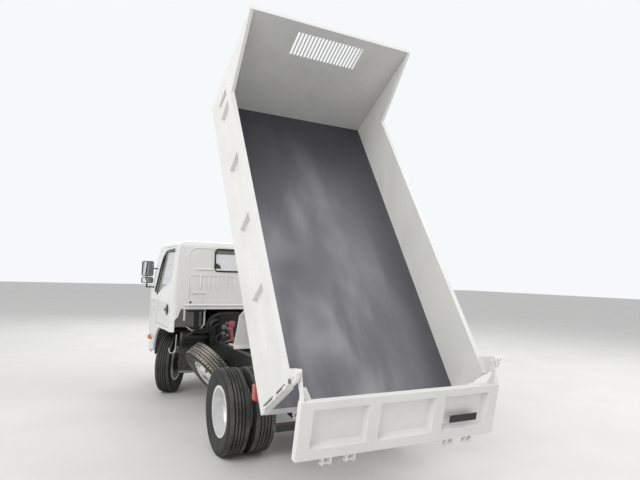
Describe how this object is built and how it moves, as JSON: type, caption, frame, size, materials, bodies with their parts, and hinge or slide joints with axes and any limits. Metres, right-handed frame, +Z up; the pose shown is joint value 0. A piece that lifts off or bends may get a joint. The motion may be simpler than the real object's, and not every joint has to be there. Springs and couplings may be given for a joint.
{
  "type": "cab-over dump truck",
  "caption": "Small cab-over dump truck with twin rear wheels, its steel bed raised on a hoist and its tailgate hanging open.",
  "frame": {"origin": "on the ground, midway along the whole truck's length in the stored pose and on its centre line", "axes": "+Y forward along the truck, +X to the vehicle's right, +Z up"},
  "size_m": [2.034, 5.251, 3.829],
  "materials": {
    "white_paint": "gloss",
    "grey_paint": "semi-gloss",
    "black_paint": "semi-gloss",
    "wheel_silver": "satin",
    "tyre_rubber": "matt",
    "engine_iron": "rough",
    "axle_iron": "rough",
    "black_plastic": "matt",
    "hose_rubber": "satin",
    "clear_glass": "polished",
    "lamp_lens": "polished",
    "head_lens": "polished",
    "seat_cloth": "woven",
    "rod_chrome": "polished"
  },
  "bodies": {
    "chassis": {"chassis_rails": "black_paint", "chassis_members": "black_paint", "subframe_rails": "black_paint", "subframe_members": "black_paint", "engine_block": "engine_iron", "gearbox": "engine_iron", "radiator": "black_paint", "front_axle": "axle_iron", "leaf_springs": "axle_iron", "rear_axle": "axle_iron", "propeller_shaft": "black_paint", "spare_tyre": "tyre_rubber", "spare_rim": "wheel_silver", "spare_carrier": "black_paint", "fuel_tank": "black_paint", "battery_box": "black_plastic", "vacuum_tank": "black_paint", "exhaust_silencer": "axle_iron", "intake_duct": "hose_rubber", "cab_mount": "white_paint", "front_bumper": "white_paint", "rear_underrun": "black_paint", "tail_lamps": "lamp_lens"},
    "cab": {"cab_shell": "white_paint", "cab_glass": "clear_glass", "grille": "black_plastic", "head_lamps": "head_lens", "seats": "seat_cloth", "dashboard": "black_plastic", "steering_wheel": "black_plastic", "mirrors": "black_plastic"},
    "bed": {"bed_floor": "grey_paint", "bed_side_left": "white_paint", "bed_side_right": "white_paint", "headboard": "white_paint", "mudguards": "white_paint"},
    "tailgate": {"tailgate": "white_paint"},
    "hoist_barrel": {"hoist_barrel": "black_paint"},
    "hoist_rod": {"hoist_rod": "rod_chrome"},
    "door_left": {"door_left": "white_paint", "door_glass_left": "clear_glass"},
    "knuckle_left": {"knuckle_left": "axle_iron"},
    "wheel_front_left": {"tyre_front_left": "tyre_rubber", "rim_front_left": "wheel_silver"},
    "wheels_rear_left": {"tyres_rear_left": "tyre_rubber", "rims_rear_left": "wheel_silver"},
    "door_right": {"door_right": "white_paint", "door_glass_right": "clear_glass"},
    "knuckle_right": {"knuckle_right": "axle_iron"},
    "wheel_front_right": {"tyre_front_right": "tyre_rubber", "rim_front_right": "wheel_silver"},
    "wheels_rear_right": {"tyres_rear_right": "tyre_rubber", "rims_rear_right": "wheel_silver"}
  },
  "joints": [
    {"name": "bed_tilt", "type": "hinge", "parent": "chassis", "child": "bed", "pos_m": [0, -1.93379, 0.809], "axis": [1, 0, 0], "range_deg": [-58, 0]},
    {"name": "tailgate_swing", "type": "hinge", "parent": "bed", "child": "tailgate", "pos_m": [0, -2.55963, 0.96423], "axis": [1, 0, 0], "range_deg": [-60, 46.83]},
    {"name": "hoist_pivot", "type": "hinge", "parent": "chassis", "child": "hoist_barrel", "pos_m": [0, -1.58379, 0.54], "axis": [1, 0, 0], "range_deg": [-59.92, 0]},
    {"name": "hoist_slide", "type": "slide", "parent": "hoist_barrel", "child": "hoist_rod", "axis": [0, 0.2091, 0.9779], "range_m": [-0.42687, 0]},
    {"name": "cab_tilt", "type": "hinge", "parent": "chassis", "child": "cab", "pos_m": [0, 2.52121, 0.6], "axis": [1, 0, 0], "range_deg": [-45, 0]},
    {"name": "door_left_hinge", "type": "hinge", "parent": "cab", "child": "door_left", "pos_m": [-0.852, 2.19921, 0.9], "axis": [0, 0, -1], "range_deg": [0, 65]},
    {"name": "steer_left", "type": "hinge", "parent": "chassis", "child": "knuckle_left", "pos_m": [-0.57, 1.54621, 0.369], "axis": [0, 0, 1], "range_deg": [-5, 65]},
    {"name": "roll_front_left", "type": "hinge", "parent": "knuckle_left", "child": "wheel_front_left", "pos_m": [-0.68258, 1.61121, 0.369], "axis": [0.866, -0.5, 0], "continuous": true},
    {"name": "roll_rear_left", "type": "hinge", "parent": "chassis", "child": "wheels_rear_left", "pos_m": [-0.62, -0.98379, 0.369], "axis": [1, 0, 0], "continuous": true},
    {"name": "door_right_hinge", "type": "hinge", "parent": "cab", "child": "door_right", "pos_m": [0.852, 2.19921, 0.9], "axis": [0, 0, 1], "range_deg": [0, 65]},
    {"name": "steer_right", "type": "hinge", "parent": "chassis", "child": "knuckle_right", "pos_m": [0.57, 1.54621, 0.369], "axis": [0, 0, 1], "range_deg": [-5, 65]},
    {"name": "roll_front_right", "type": "hinge", "parent": "knuckle_right", "child": "wheel_front_right", "pos_m": [0.68258, 1.48121, 0.369], "axis": [0.866, -0.5, 0], "continuous": true},
    {"name": "roll_rear_right", "type": "hinge", "parent": "chassis", "child": "wheels_rear_right", "pos_m": [0.62, -0.98379, 0.369], "axis": [1, 0, 0], "continuous": true}
  ],
  "couplings": [
    {"joint": "hoist_pivot", "follows": "bed_tilt", "ratio": 1.0329},
    {"joint": "hoist_slide", "follows": "bed_tilt", "m_per_rad": 0.42159},
    {"joint": "steer_right", "follows": "steer_left", "ratio": 1}
  ]
}
